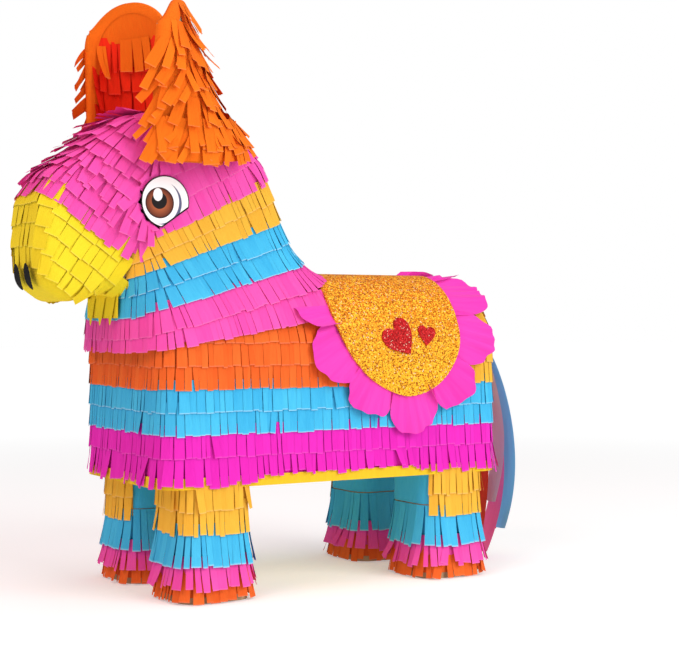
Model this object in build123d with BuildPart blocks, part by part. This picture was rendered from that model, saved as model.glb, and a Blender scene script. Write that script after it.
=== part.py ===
"""Donkey pinata: a hollow card donkey on four leg tubes, dressed in bands of crepe-paper fringe.

The donkey faces -Y, its left side is +X and it stands on Z = 0. Sizes are in millimetres.
Every card piece is a 3 mm wall. Paper layers lie outside the card, one glue line away.
"""

import os
from math import atan2, cos, degrees, hypot, radians, sin

from build123d import *

os.makedirs("parts", exist_ok=True)

# ---------------------------------------------------------------- driving dimensions
card = 3.0  # wall of the corrugated card
glue_gap = 0.3  # between a card wall and the paper outside it
fringe_depth = 2.5  # how far a fringe band stands out
paper_depth = 1.2  # a plain wrapped paper layer

body_width = 142.0
body_length = 272.0
body_height = 138.0
arch_radius = 52.0  # bend of the wrap between the back and each side
body_corner = 16.0  # rounding where the end caps meet the wrap

leg_height = 78.0  # floor to belly
leg_side = 51.0
leg_corner = 12.0
leg_inset = 14.0  # leg's front face behind the chest, and the same at the rump
sole_depth = 3.0

head_half_width = 42.0
head_rounding = 18.0
face_half_width = 31.0
face_rounding = 12.0
face_reach = 70.0  # muzzle's front ahead of the chest
head_top = 325.0

ear_heights = {"left": 80.0, "right": 93.0}  # above the crown: the ears are cut by hand
ear_half_width = 33.0
ear_depth_low = 46.0  # how deeply the card is curled at the crown
ear_depth_high = 9.0  # and at the tip
ear_skirt = 22.0  # how far the curled card reaches down past the crown
ear_turn = 38.0  # how far each ear's hollow turns inwards, in degrees
ear_lean = 4.0  # how far each ear leans outwards, in degrees
ear_spread = 32.0  # each ear's edges from the middle of the head
ear_back = -118.0  # and from the middle of the body

hatch_width = 70.0  # across the belly
hatch_length = 90.0  # along the belly
flap_gap = 0.5  # cut line round the flap

hang_hole_radius = 3.0
hang_hole_spacing = 40.0
hang_back = 25.0  # middle of the two rope holes behind the middle of the body
hanger_length = 90.0
hanger_width = 34.0

saddle_depth = 2.0
saddle_front = -8.0  # saddle edges along Y, from the middle of the body
saddle_rear = 97.0
saddle_low = 134.0
ruffle_reach = 26.0
ruffle_depth = 1.0
heart_depth = 1.2

tail_reach = 54.0  # how far the streamers stand out behind the rump
tail_root_height = 185.0
tail_x = 12.0  # the tail is tied a little to the left
tail_width = 50.0
tie_height = 22.0
tie_depth = 5.0
streamer_width = 15.0
streamer_depth = 0.8

eye_radius = 17.5
sticker_depth = 0.8

# ---------------------------------------------------------------- places worked out from them
body_bottom = leg_height
body_top = body_bottom + body_height
# The box of the whole donkey is centred on the origin, so the body sits a little behind or ahead of it.
muzzle_overhang = face_reach + glue_gap + paper_depth + sticker_depth
tail_overhang = tail_reach + streamer_depth
body_y = (muzzle_overhang - tail_overhang) / 2
chest_y = body_y - body_length / 2
rump_y = body_y + body_length / 2
leg_x = (body_width - leg_side) / 2
leg_y = body_length / 2 - leg_inset - leg_side / 2
fringe_out = glue_gap + fringe_depth
ruffle_in = fringe_out + glue_gap
ruffle_out = ruffle_in + ruffle_depth
saddle_in = ruffle_out + 0.1
saddle_out = saddle_in + saddle_depth
hang_y = body_y + hang_back


def write(part, name):
    """Labels one finished sub-part and writes its STEP file."""
    part.label = name
    export_step(part, f"parts/{name}.step")


# ---------------------------------------------------------------- outlines shared by shells and fringe
def body_block(grow):
    """The body's outside, grown all round: an arch with a flat belly, rounded at chest and rump."""
    with BuildPart() as block:
        with BuildSketch(Plane.XZ.offset(-body_y)) as arch:
            with Locations((0, (body_bottom + body_top) / 2)):
                Rectangle(body_width + 2 * grow, body_height + 2 * grow)
            fillet(arch.vertices().group_by(Axis.Y)[-1], arch_radius + grow)
        extrude(amount=body_length / 2 + grow, both=True)
        ends = block.faces().filter_by(Axis.Y).edges()
        low = body_bottom - grow + 0.5
        fillet([e for e in ends if e.center().Z > low], body_corner + grow)
    return block.part


def side_block(points, radius, half_width, grow):
    """A rounded side outline drawn across the donkey, grown all round."""
    half = half_width + grow
    with BuildPart() as block:
        with BuildSketch(Plane.YZ.offset(-half)) as profile:
            with BuildLine():
                Polyline(*[(body_y + y, z) for y, z in points], close=True)
            make_face()
            fillet(profile.vertices(), radius)
            if grow:
                offset(amount=grow)
        extrude(amount=2 * half)
    return block.part


# Side outlines, as (distance ahead of or behind the middle of the body, height).
chest_inside = 0.5 - body_length / 2
neck_outline = [
    (chest_inside, 120.0),
    (chest_inside, 214.0),
    (chest_inside - 22.0, 262.0),
    (chest_inside - 22.0, head_top - 27.0),
    (chest_inside - 2.0, head_top),
    (-72.0, head_top),
    (-43.0, head_top - 26.0),
    (-26.0, 252.0),
    (-14.0, 205.0),
    (-14.0, 120.0),
]
face_front = -body_length / 2 - face_reach
face_outline = [
    (chest_inside + 14.0, 204.0),
    (chest_inside - 5.0, 203.0),
    (chest_inside - 25.0, 209.0),
    (face_front + 20.0, 200.0),
    (face_front + 3.0, 212.0),
    (face_front, 240.0),
    (face_front + 2.0, 268.0),
    (face_front + 12.0, 287.0),
    (chest_inside - 12.0, head_top - 4.0),
    (chest_inside + 14.0, head_top - 4.0),
]


def neck_block(grow):
    """Neck and skull as one block with rounded long edges, grown all round."""
    with BuildPart() as block:
        add(side_block(neck_outline, 22.0, head_half_width, grow))
        sides = block.faces().filter_by(Axis.X).edges()
        fillet(sides, head_rounding + grow)
    return block.part


def face_block(grow):
    """Nose bridge and muzzle as one block with rounded long edges, grown all round."""
    with BuildPart() as block:
        add(side_block(face_outline, 13.5, face_half_width, grow))
        sides = block.faces().filter_by(Axis.X).edges()
        fillet(sides, face_rounding + grow)
    return block.part


def leg_blocks(grow, low, high):
    """The four legs' outsides between two heights, as [(name, block), ...]."""
    found = []
    for fore, y_sign in (("front", -1), ("rear", 1)):
        for side, x_sign in (("left", 1), ("right", -1)):
            with BuildPart() as block:
                with BuildSketch(Plane.XY.offset(low)):
                    with Locations((x_sign * leg_x, body_y + y_sign * leg_y)):
                        RectangleRounded(leg_side + 2 * grow, leg_side + 2 * grow, leg_corner + grow)
                extrude(amount=high - low)
            found.append((f"{fore}_{side}", block.part))
    return found


def tilted_plane(y, z, slope):
    """A plane across the donkey through a point of the side view, rising towards the rump by slope."""
    turn = atan2(slope, 1.0)
    return Plane(origin=(0, body_y + y, z), x_dir=(1, 0, 0), z_dir=(0, -sin(turn), cos(turn)))


def above(part, plane):
    """The piece of a part on a plane's upper side."""
    with BuildPart() as piece:
        add(part)
        split(bisect_by=plane, keep=Keep.TOP)
    return piece.part


def below(part, plane):
    """The piece of a part on a plane's lower side."""
    with BuildPart() as piece:
        add(part)
        split(bisect_by=plane, keep=Keep.BOTTOM)
    return piece.part


def without(part, *others):
    """A part with others cut away."""
    with BuildPart() as piece:
        add(part)
        for other in others:
            add(other, mode=Mode.SUBTRACT)
    return piece.part


def joined(*parts):
    """Parts joined into one solid."""
    with BuildPart() as piece:
        for part in parts:
            add(part)
    return piece.part


def rope_holes(low, high, clearance=0.0):
    """Two upright rope holes on the ridge, between two heights."""
    with BuildPart() as holes:
        with BuildSketch(Plane.XY.offset(low)):
            with Locations((0, hang_y - hang_hole_spacing / 2), (0, hang_y + hang_hole_spacing / 2)):
                Circle(hang_hole_radius + clearance)
        extrude(amount=high - low)
    return holes.part


ridge_holes = rope_holes(body_top - 30.0, body_top + 30.0)
paper_holes = rope_holes(body_top - 30.0, body_top + 30.0, 0.5)

# Where one colour of fringe gives way to the next, from the head down.
crown_line = tilted_plane(-90.0, 258.0, 0.49)
mustard_line = tilted_plane(-90.0, 236.0, 0.38)
blue_line = tilted_plane(-90.0, 204.0, 0.29)
chest_line = tilted_plane(-90.0, 176.0, 0.17)
orange_height = 142.0
sky_height = 112.0
magenta_height = 84.0
bridge_line = tilted_plane(-176.0, 262.0, -0.745)  # yellow muzzle below, pink bridge above

# ---------------------------------------------------------------- body shell
body_outer = body_block(0)
body_inner = body_block(-card)
body_shell = without(body_outer, body_inner)
belly_face = Plane.XY.offset(body_bottom + card)
walls = above(body_shell, belly_face)
chest_face = Plane.XZ.offset(-(chest_y + body_corner))
rump_face = Plane.XZ.offset(-(rump_y - body_corner))

body_wrap = without(below(above(walls, rump_face), chest_face), ridge_holes)
write(body_wrap, "body_wrap")
write(above(walls, chest_face), "chest_panel")
write(below(walls, rump_face), "rump_panel")

# The belly is one flat sheet. Three sides of its hatch are cut and the fourth hangs by the paper outside.
with BuildPart() as belly_panel:
    add(below(body_outer, belly_face))
    with BuildSketch(Plane.XY.offset(body_bottom)):
        with Locations((0, body_y)):
            Rectangle(hatch_width, hatch_length)
    extrude(amount=card, mode=Mode.SUBTRACT)
write(belly_panel.part, "belly_panel")

with BuildPart() as fill_flap:
    with BuildSketch(Plane.XY.offset(body_bottom)):
        with Locations((0, body_y)):
            Rectangle(hatch_width - 2 * flap_gap, hatch_length - 2 * flap_gap)
    extrude(amount=card)
write(fill_flap.part, "fill_flap")

with BuildPart() as flap_paper:
    with BuildSketch(Plane.XY.offset(body_bottom - glue_gap)):
        with Locations((0, body_y)):
            Rectangle(hatch_width - 2 * flap_gap, hatch_length - 2 * flap_gap)
    extrude(amount=-paper_depth)
write(flap_paper.part, "flap_paper_yellow")

# A doubled card under the ridge spreads the rope's pull over the wrap.
with BuildPart() as hanger_plate:
    with BuildSketch(Plane.XY.offset(body_top - 2 * card)):
        with Locations((0, hang_y)):
            RectangleRounded(hanger_width, hanger_length, 4.0)
    extrude(amount=card)
    add(ridge_holes, mode=Mode.SUBTRACT)
write(hanger_plate.part, "hanger_plate")

# ---------------------------------------------------------------- legs
leg_cores = dict(leg_blocks(-card, sole_depth, body_bottom))
for place, tube in leg_blocks(0, sole_depth, body_bottom):
    write(without(tube, leg_cores[place]), f"leg_{place}")
for place, sole in leg_blocks(0, 0, sole_depth):
    write(sole, f"sole_{place}")

# ---------------------------------------------------------------- neck, head and muzzle shells
neck_outer = neck_block(0)
neck_inner = neck_block(-card)
face_outer = face_block(0)
face_inner = face_block(-card)
neck_hollow = without(neck_outer, neck_inner)
write(without(below(neck_hollow, crown_line), body_outer), "neck_shell")

bridge_wall = tilted_plane(-176.0, 262.0 + card * 1.25, -0.745)
head_outer = joined(above(neck_outer, crown_line), above(face_outer, bridge_line))
head_inner = joined(neck_inner, above(face_inner, bridge_wall))
with BuildPart() as head_shell:
    add(above(head_outer, crown_line))
    add(head_inner, mode=Mode.SUBTRACT)
write(head_shell.part, "head_shell")

muzzle = below(without(face_outer, face_inner), bridge_line)
write(without(muzzle, neck_outer, body_block(glue_gap)), "muzzle_shell")

# ---------------------------------------------------------------- fringe on body, neck and head
torso_skin = without(
    joined(body_block(fringe_out), neck_block(fringe_out)),
    joined(body_block(glue_gap), neck_block(glue_gap)),
)
face_skin_out = face_block(glue_gap + paper_depth)
face_skin_in = face_block(glue_gap)
saddle_start = Plane.XZ.offset(-(body_y + saddle_front - 3.0))
rump_start = Plane.XZ.offset(-(body_y + 70.0))


def level(height):
    """A level plane at one height."""
    return Plane.XY.offset(height)


magenta_band = below(above(torso_skin, level(magenta_height)), level(sky_height))
write(magenta_band, "body_fringe_magenta")
write(below(above(torso_skin, level(sky_height)), level(orange_height)), "body_fringe_blue")
upper_skin = above(torso_skin, level(orange_height))
orange_front = below(above(upper_skin, saddle_start), chest_line)
orange_middle = without(above(below(upper_skin, saddle_start), rump_start), paper_holes)
write(joined(orange_front, orange_middle), "body_fringe_orange")
write(below(upper_skin, rump_start), "rump_fringe_mustard")
neck_skin = above(above(upper_skin, saddle_start), chest_line)
write(below(neck_skin, blue_line), "chest_fringe_pink")
neck_clear = without(neck_skin, face_skin_out)
write(below(above(neck_clear, blue_line), mustard_line), "neck_fringe_blue")
write(below(above(neck_clear, mustard_line), crown_line), "neck_fringe_mustard")

head_skin_out = joined(neck_block(fringe_out), above(face_block(fringe_out), bridge_line))
head_skin_in = joined(neck_block(glue_gap), face_block(glue_gap))
head_skin = above(without(head_skin_out, head_skin_in), crown_line)
write(without(head_skin, below(face_skin_out, bridge_line)), "head_fringe_pink")

muzzle_skin = below(without(face_skin_out, face_skin_in), bridge_line)
write(without(muzzle_skin, neck_block(glue_gap), body_block(glue_gap)), "muzzle_wrap_yellow")

# Plain yellow paper closes the belly and turns up over the edges below the magenta band.
belly_wrap_out = below(body_block(glue_gap + paper_depth), level(magenta_height))
with BuildPart() as belly_wrap:
    add(belly_wrap_out)
    add(body_block(glue_gap), mode=Mode.SUBTRACT)
    with BuildSketch(Plane.XY.offset(body_bottom - 10.0)):
        with Locations((0, body_y)):
            Rectangle(hatch_width + 2.0, hatch_length + 2.0)
    extrude(amount=15.0, mode=Mode.SUBTRACT)
    for _, leg in leg_blocks(glue_gap, body_bottom - 10.0, body_bottom):
        add(leg, mode=Mode.SUBTRACT)
write(belly_wrap.part, "belly_wrap_yellow")

# ---------------------------------------------------------------- fringe on the legs
leg_bands = [
    ("leg_fringe_mustard", 46.0, body_bottom - glue_gap - paper_depth - glue_gap),
    ("leg_fringe_blue", 24.0, 46.0),
    ("leg_fringe_pink", 11.0, 24.0),
    ("leg_fringe_orange", 1.5, 11.0),
]
for name, low, high in leg_bands:
    inners = dict(leg_blocks(glue_gap, low, high))
    rings = [without(band, inners[place]) for place, band in leg_blocks(fringe_out, low, high)]
    write(Compound(children=rings), name)


# ---------------------------------------------------------------- ears
def ear_horn(height, grow):
    """The curl of one ear as a solid: an ellipse at the skirt and a flatter one at the tip's height."""
    with BuildPart() as horn:
        with BuildSketch(Plane.XY.offset(-ear_skirt)):
            Ellipse(ear_half_width + grow, ear_depth_low + grow)
        with BuildSketch(Plane.XY.offset(height)):
            Ellipse(ear_half_width + grow, ear_depth_high + grow)
        loft(ruled=True)
    return horn.part


def ear_sheet(height, inner, outer, drop):
    """One ear's curled sheet before it is turned: open towards -Y and rounded at the tip.

    It lies between two growths of the curl, and its rim is pulled in by drop.
    """
    wide = ear_half_width - drop
    shoulder = height - ear_half_width
    with BuildPart() as sheet:
        add(ear_horn(height, outer))
        add(ear_horn(height, inner), mode=Mode.SUBTRACT)
        with BuildSketch(Plane.XZ):
            with BuildLine():
                Polyline((wide, shoulder), (wide, -ear_skirt), (-wide, -ear_skirt), (-wide, shoulder))
                ThreePointArc((-wide, shoulder), (0, height - drop), (wide, shoulder))
            make_face()
        extrude(amount=-2 * ear_depth_low, mode=Mode.INTERSECT)
    return sheet.part


skull_skin = joined(neck_block(fringe_out + glue_gap), face_block(fringe_out + glue_gap))
for side, sign in (("left", 1), ("right", -1)):
    height = ear_heights[side]
    lean = Location((sign * ear_spread, body_y + ear_back, head_top), (0, sign * ear_lean, 0))
    seat = lean * Location((0, 0, 0), (0, 0, -sign * ear_turn))
    shell = ear_sheet(height, -card, 0.0, 0.0).moved(seat)
    write(without(shell, skull_skin), f"ear_{side}")
    lining_out = -card - glue_gap
    lining = ear_sheet(height, lining_out - paper_depth, lining_out, card).moved(seat)
    write(without(lining, skull_skin), f"ear_lining_{side}")
    skin = ear_sheet(height, glue_gap, fringe_out, 0.0).moved(seat)
    write(without(skin, skull_skin), f"ear_fringe_{side}")


# ---------------------------------------------------------------- saddle, ruffle and hearts
side_plane = Plane.YZ.offset(-body_width)


def saddle_outline(reach):
    """A sheet's outline seen from the side, cut through the whole width: the saddle's, grown by reach."""
    front = body_y + saddle_front
    rear = body_y + saddle_rear
    over = body_top + 40.0
    with BuildPart() as cutter:
        with BuildSketch(side_plane):
            with BuildLine():
                Line((front, over), (front, saddle_low + 58.0))
                ThreePointArc((front, saddle_low + 58.0), (front + 18.0, saddle_low + 22.0), (front + 58.0, saddle_low))
                ThreePointArc((front + 58.0, saddle_low), (rear - 12.0, saddle_low + 15.0), (rear, saddle_low + 46.0))
                Line((rear, saddle_low + 46.0), (rear, over))
                Line((rear, over), (front, over))
            make_face()
            if reach:
                offset(amount=reach)
        extrude(amount=2 * body_width)
    return cutter.part


def body_layer(inner, outer, cutter):
    """The layer between two growths of the body that lies inside a cutter."""
    with BuildPart() as layer:
        add(body_block(outer))
        add(body_block(inner), mode=Mode.SUBTRACT)
        add(cutter, mode=Mode.INTERSECT)
    return layer.part


neck_clearance = neck_block(ruffle_in + 0.4)
saddle = body_layer(saddle_in, saddle_out, saddle_outline(0))
write(without(saddle, neck_clearance, paper_holes), "saddle")
ruffle = body_layer(ruffle_in, ruffle_out, saddle_outline(ruffle_reach))
write(without(ruffle, neck_clearance, paper_holes), "saddle_ruffle")


def heart_cutter(tip_y, tip_z, size, turn):
    """A heart cut through the whole width: its tip, its height from tip to notch and its turn in degrees."""
    across = Vector(0, cos(radians(turn)), sin(radians(turn)))
    origin = (-body_width, body_y + tip_y, tip_z)
    with BuildPart() as cutter:
        with BuildSketch(Plane(origin=origin, x_dir=across, z_dir=(1, 0, 0))):
            with BuildLine():
                Bezier((0, 0), (0.3 * size, 0.35 * size), (0.65 * size, 0.6 * size), (0.65 * size, 0.95 * size))
                Bezier((0.65 * size, 0.95 * size), (0.65 * size, 1.4 * size), (0.08 * size, 1.4 * size), (0, size))
                mirror(about=Plane.YZ)
            make_face()
        extrude(amount=2 * body_width)
    return cutter.part


hearts = [("heart_large", 52.0, 164.0, 20.0, 35.0), ("heart_small", 66.0, 170.0, 11.0, -8.0)]
heart_in = saddle_out + 0.1
for name, tip_y, tip_z, size, turn in hearts:
    both = body_layer(heart_in, heart_in + heart_depth, heart_cutter(tip_y, tip_z, size, turn))
    write(above(both, Plane.YZ), f"{name}_left")
    write(below(both, Plane.YZ), f"{name}_right")

# ---------------------------------------------------------------- eyes and nostrils
eye_face = head_half_width + fringe_out + 0.1
eye_centre = (body_y - 124.0, 268.0)
for side, start in (("left", eye_face), ("right", -eye_face - sticker_depth)):
    with BuildPart() as eye:
        with BuildSketch(Plane.YZ.offset(start)):
            with Locations(eye_centre):
                Circle(eye_radius)
            with Locations(Location((eye_centre[0] + 8.0, eye_centre[1] - 20.0), 35.0)):
                Rectangle(50.0, 16.0, mode=Mode.SUBTRACT)
        extrude(amount=sticker_depth)
    write(eye.part, f"eye_{side}")

nostril_in = glue_gap + paper_depth + 0.1
for side, sign in (("left", 1), ("right", -1)):
    with BuildPart() as plug:
        with BuildSketch(Plane.XZ.offset(-(body_y + face_front + 14.0))):
            with Locations(Location((sign * 9.0, 221.0), sign * 12.0)):
                Ellipse(3.0, 8.5)
        extrude(amount=20.0)
    with BuildPart() as nostril:
        add(face_block(nostril_in + sticker_depth))
        add(face_block(nostril_in), mode=Mode.SUBTRACT)
        add(plug.part, mode=Mode.INTERSECT)
    write(nostril.part, f"nostril_{side}")


# ---------------------------------------------------------------- tail
tie_y = rump_y + fringe_out + glue_gap
tie_end = tie_y + tie_depth
with BuildPart() as tail_tie:
    with BuildSketch(Plane.XZ.offset(-tie_y)):
        with Locations((tail_x, tail_root_height)):
            RectangleRounded(tail_width, tie_height, 3.0)
    extrude(amount=-tie_depth)
write(tail_tie.part, "tail_tie")


def streamer(x, root_z, reach, low, tuck):
    """One paper streamer: it leaves the tie, bows out to its reach and comes in again by tuck at its end."""
    root = (tie_end + glue_gap + streamer_depth / 2, root_z)
    bow = (rump_y + reach, low + 0.36 * (root_z - low))
    with BuildPart() as strip:
        with BuildSketch(Plane.YZ.offset(x - streamer_width / 2)):
            with BuildLine():
                ThreePointArc(root, bow, (rump_y + reach - tuck, low))
            trace(line_width=streamer_depth)
        extrude(amount=streamer_width)
    return strip.part


# Name, place across, root above or below the tie's middle, reach, lower end and tuck.
streamers = [
    ("orange", tail_x - 9.0, 7.5, tail_reach, 22.0, 12.0),
    ("blue", tail_x + 5.0, 4.5, tail_reach - 3.0, 24.0, 12.0),
    ("pink", tail_x + 2.0, 1.5, tail_reach - 11.0, 5.0, 18.0),
    ("white", tail_x + 11.0, -1.5, tail_reach - 20.0, 46.0, 5.0),
    ("red", tail_x + 6.0, -4.5, tail_reach - 30.0, 12.0, 8.0),
    ("yellow", tail_x + 13.0, -7.5, tail_reach - 38.0, 100.0, 2.0),
]
for name, x, rise, reach, low, tuck in streamers:
    write(streamer(x, tail_root_height + rise, reach, low, tuck), f"tail_{name}")
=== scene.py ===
"""A donkey pinata: a hollow card donkey dressed in rows of cut crepe paper."""

from math import atan, cos, pi, radians, sin

import bpy
import numpy as np
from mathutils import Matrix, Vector


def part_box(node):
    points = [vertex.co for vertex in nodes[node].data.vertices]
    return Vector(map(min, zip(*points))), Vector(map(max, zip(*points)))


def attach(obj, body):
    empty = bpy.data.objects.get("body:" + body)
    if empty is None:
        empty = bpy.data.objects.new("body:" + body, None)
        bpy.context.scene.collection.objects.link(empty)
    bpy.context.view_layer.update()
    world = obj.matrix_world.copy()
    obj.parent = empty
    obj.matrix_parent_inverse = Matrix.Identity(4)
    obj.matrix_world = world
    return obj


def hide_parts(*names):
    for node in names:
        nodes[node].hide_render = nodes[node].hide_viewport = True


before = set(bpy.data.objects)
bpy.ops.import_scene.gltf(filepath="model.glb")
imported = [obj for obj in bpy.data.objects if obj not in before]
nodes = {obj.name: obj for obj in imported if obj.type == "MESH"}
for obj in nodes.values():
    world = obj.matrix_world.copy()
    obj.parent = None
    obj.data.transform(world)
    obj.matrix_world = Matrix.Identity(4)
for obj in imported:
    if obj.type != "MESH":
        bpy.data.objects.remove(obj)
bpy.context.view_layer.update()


# ---------------------------------------------------------------- card shell
# Corrugated card, 3 mm thick: an arched wrap with end caps, a belly sheet with its filling flap,
# leg tubes with soles, and the neck, head, muzzle and ears. Only cut edges and the inside stay bare.
class Value:
    """A shader socket that arithmetic works on; each operator adds one Math node."""

    def __init__(self, finish, socket):
        self.finish = finish
        self.socket = socket

    def math(self, operation, *others):
        inputs = dict(enumerate((self, *others)))
        return self.finish.node("ShaderNodeMath", {"operation": operation}, inputs)

    def __add__(self, other):
        return self.math("ADD", other)

    def __mul__(self, other):
        return self.math("MULTIPLY", other)

    def __sub__(self, other):
        return self.math("SUBTRACT", other)

    def __pow__(self, other):
        return self.math("POWER", other)

    def __rsub__(self, other):
        return self.math("MULTIPLY", -1.0).math("ADD", other)

    def over(self, edge, soft):
        """Rises from 0 to 1 as the value passes an edge, over a soft width."""
        risen = self.math("SUBTRACT", edge - soft / 2).math("DIVIDE", soft)
        return risen.math("MAXIMUM", 0.0).math("MINIMUM", 1.0)

    __radd__ = __add__
    __rmul__ = __mul__


class Finish:
    """One material: its Principled shader and a way to add nodes."""

    def __init__(self, name, **fixed):
        self.material = bpy.data.materials.new(name)
        self.material.use_nodes = True
        self.tree = self.material.node_tree
        self.shader = self.tree.nodes["Principled BSDF"]
        self.feed(**fixed)

    def put(self, value, socket):
        if isinstance(value, Value):
            self.tree.links.new(value.socket, socket)
        else:
            socket.default_value = value

    def node(self, kind, settings=None, inputs=None, output=0):
        node = self.tree.nodes.new(kind)
        for name, value in (settings or {}).items():
            if name == "stops":
                ramp = node.color_ramp
                while len(ramp.elements) < len(value):
                    ramp.elements.new(0.5)
                for stop, (place, colour) in zip(ramp.elements, value):
                    stop.position = place
                    stop.color = colour
            else:
                setattr(node, name, value)
        for name, value in (inputs or {}).items():
            self.put(value, node.inputs[name])
        return Value(self, node.outputs[output])

    def mix(self, factor, low, high):
        """A colour between two others."""
        settings = {"data_type": "RGBA", "clamp_factor": True}
        return self.node("ShaderNodeMix", settings, {0: factor, 6: low, 7: high}, 2)

    def noise(self, where, scale, detail=2.0):
        inputs = {"Vector": where, "Scale": scale, "Detail": detail}
        return self.node("ShaderNodeTexNoise", None, inputs)

    def stretch(self, where, scale):
        """A place scaled unevenly, so that a noise on it runs in streaks."""
        settings = {"vector_type": "POINT"}
        return self.node("ShaderNodeMapping", settings, {"Vector": where, "Scale": scale})

    def bump(self, height, strength, distance):
        inputs = {"Height": height, "Strength": strength, "Distance": distance}
        self.feed(Normal=self.node("ShaderNodeBump", None, inputs))

    def feed(self, **sockets):
        for name, value in sockets.items():
            self.put(value, self.shader.inputs[name.replace("_", " ")])


def rgb(red, green, blue):
    return (red, green, blue, 1.0)


def card_finish():
    """Brown kraft card: flecked fibres, and faint flutes that show through the liner."""
    card = Finish("kraft_card", Specular_IOR_Level=0.2)
    place = card.node("ShaderNodeTexCoord", output=3)
    fibres = card.noise(card.stretch(place, (900.0, 900.0, 180.0)), 1.0, 3.0)
    blotch = card.noise(place, 45.0, 2.0)
    waves = {"Vector": place, "Scale": 65.0}
    flutes = card.node("ShaderNodeTexWave", {"bands_direction": "Y"}, waves)
    tone = fibres * 0.5 + blotch * 0.4 + flutes * 0.1
    card.feed(Base_Color=card.mix(tone, rgb(0.30, 0.19, 0.10), rgb(0.62, 0.44, 0.27)))
    card.feed(Roughness=0.86 + fibres * 0.1)
    card.bump(fibres * 0.4 + flutes * 0.6, 0.35, 0.0004)
    return card.material


card = card_finish()


def dress(node, material):
    """Gives a CAD node its finish."""
    for slot in nodes[node].material_slots:
        slot.material = material
    if not nodes[node].material_slots:
        nodes[node].data.materials.append(material)


CARD_NODES = ["body_wrap", "chest_panel", "rump_panel", "belly_panel", "fill_flap", "hanger_plate"]
CARD_NODES += ["neck_shell", "head_shell", "muzzle_shell", "ear_left", "ear_right"]
CORNERS = ("front_left", "front_right", "rear_left", "rear_right")
CARD_NODES += [f"{part}_{corner}" for part in ("leg", "sole") for corner in CORNERS]
for node in CARD_NODES:
    dress(node, card)

# ---------------------------------------------------------------- body fringe
# Crepe streamers slit into narrow strips and glued on in rows, each over the top of the row below,
# in orange, sky blue and magenta, with mustard over the rump. Blue and magenta go right round.
_, wrap_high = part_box("body_wrap")
chest_low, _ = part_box("chest_panel")
_, rump_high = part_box("rump_panel")
MIDDLE = (chest_low[1] + rump_high[1]) / 2
HALF_LENGTH = (rump_high[1] - chest_low[1]) / 2
HALF_WIDTH = wrap_high[0]
BACK = wrap_high[2]
ARCH = 0.052  # radius of the arched back
END_ROUNDING = 0.016
SOLVE_STEPS = 22  # halvings that bring a ray's end to the surface


def length_of(vectors):
    return np.sqrt((vectors * vectors).sum(-1))


def corner_distance(a, b):
    """Distance outside the corner of two half-planes, from the distance outside each."""
    return np.hypot(np.maximum(a, 0), np.maximum(b, 0)) + np.minimum(np.maximum(a, b), 0)


def body_card(p):
    """Distance from the arched body: an arch in XZ carried along Y, with rounded ends and no bottom."""
    across = np.abs(p[..., 0]) - HALF_WIDTH + ARCH
    arch = corner_distance(across, p[..., 2] - BACK + ARCH) - ARCH + END_ROUNDING
    ends = np.abs(p[..., 1] - MIDDLE) - HALF_LENGTH + END_ROUNDING
    return corner_distance(arch, ends) - END_ROUNDING


def steepest(surface, p, step=0.0006):
    """Outward unit normal by central differences, and the distance out along it."""
    rise = [surface(p + step * axis) - surface(p - step * axis) for axis in np.eye(3)]
    rise = np.stack(rise, -1)
    size = np.maximum(length_of(rise), 1e-9)
    return rise / size[..., None], surface(p) * 2 * step / size


def cast(surface, centre, rays, lift, reach=0.2):
    """Where rays from a centre leave a surface at a lift, found by bisection."""
    near = np.zeros(rays.shape[:-1])
    far = np.full(rays.shape[:-1], reach)
    for _ in range(SOLVE_STEPS):
        half = (near + far) / 2
        inside = surface(centre + rays * half[..., None]) < lift
        near = np.where(inside, half, near)
        far = np.where(inside, far, half)
    return centre + rays * near[..., None]


def contour(surface, centre, across, up, start, stop, reach=0.33):
    """Where rays fanned from a centre through one plane leave a surface, between two angles."""
    angle = np.radians(np.linspace(start, stop, 481))
    rays = np.cos(angle)[:, None] * np.array(across) + np.sin(angle)[:, None] * np.array(up)
    return cast(surface, centre, rays, 0.0, reach)


def along_path(path, distance):
    """Points at given distances along a path of points."""
    run = np.concatenate([[0], np.cumsum(length_of(np.diff(path, axis=0)))])
    return np.stack([np.interp(distance, run, path[:, i]) for i in range(3)], -1)


def drape(surface, roots, hang, lengths, lifts, sway):
    """Walks down a surface from each root, a step at a time in its tangent plane, at its lifts.

    Returns the points, the sideways unit vectors and the normals, each (strips, stations, 3).
    """
    steps = lifts.shape[1] - 1
    normal, away = steepest(surface, roots)
    place = roots + (lifts[:, :1] - away[:, None]) * normal
    places, sides, normals = [], [], []
    for step in range(steps + 1):
        pull = np.broadcast_to(hang(place) if callable(hang) else hang, place.shape)
        down = pull - (pull * normal).sum(-1, keepdims=True) * normal
        down = down / np.maximum(length_of(down), 1e-9)[:, None]
        side = np.cross(normal, down)
        turn = np.broadcast_to(sway, len(place))[:, None]
        down = np.cos(turn) * down + np.sin(turn) * side
        side = np.cross(normal, down)
        places.append(place)
        sides.append(side)
        normals.append(normal)
        if step < steps:
            place = place + down * (lengths / steps)[:, None]
            normal, away = steepest(surface, place)
            place = place + (lifts[:, step + 1] - away)[:, None] * normal
    return np.stack(places, 1), np.stack(sides, 1), np.stack(normals, 1)


def spread(place):
    """How much neighbouring strips draw apart down a row, evened out over seven strips."""
    if len(place) < 9:
        return np.ones(place.shape[:2])
    apart = length_of(place[2:] - place[:-2])
    ratio = np.pad(apart / apart[:, :1], ((4, 4), (0, 0)), mode="edge")
    even = sum(ratio[i : i + len(place)] for i in range(7)) / 7
    return np.clip(even, 0.8, 1.3)


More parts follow.
